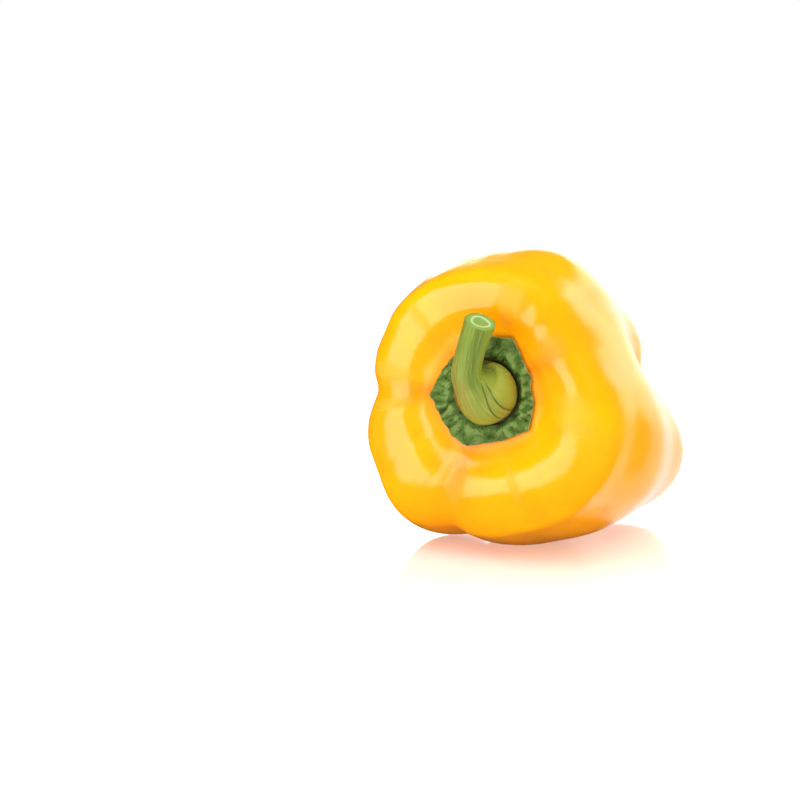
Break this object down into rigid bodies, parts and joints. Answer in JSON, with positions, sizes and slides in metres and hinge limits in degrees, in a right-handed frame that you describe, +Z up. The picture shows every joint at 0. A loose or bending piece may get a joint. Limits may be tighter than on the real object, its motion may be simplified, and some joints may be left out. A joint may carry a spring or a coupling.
{
  "type": "bell pepper",
  "caption": "Ripe yellow bell pepper with deep lobes, a crinkled green calyx and a short bent stem, lying on its side.",
  "frame": {"origin": "on the surface it rests on, under the middle of its bounding box", "axes": "+Y along the fruit from the stem end to the blossom end, +Z up, with the pepper lying on its side"},
  "size_m": [0.0906, 0.1054, 0.0936],
  "materials": {
    "skin": "waxy, glossy ripe yellow-orange skin",
    "calyx": "crinkled dark green leaf tissue, semi-matt",
    "stem": "fresh green stem with fine lengthwise lines and a pale cut end"
  },
  "bodies": {
    "root": {"fruit": "skin", "calyx": "calyx", "stem": "stem"}
  },
  "joints": []
}
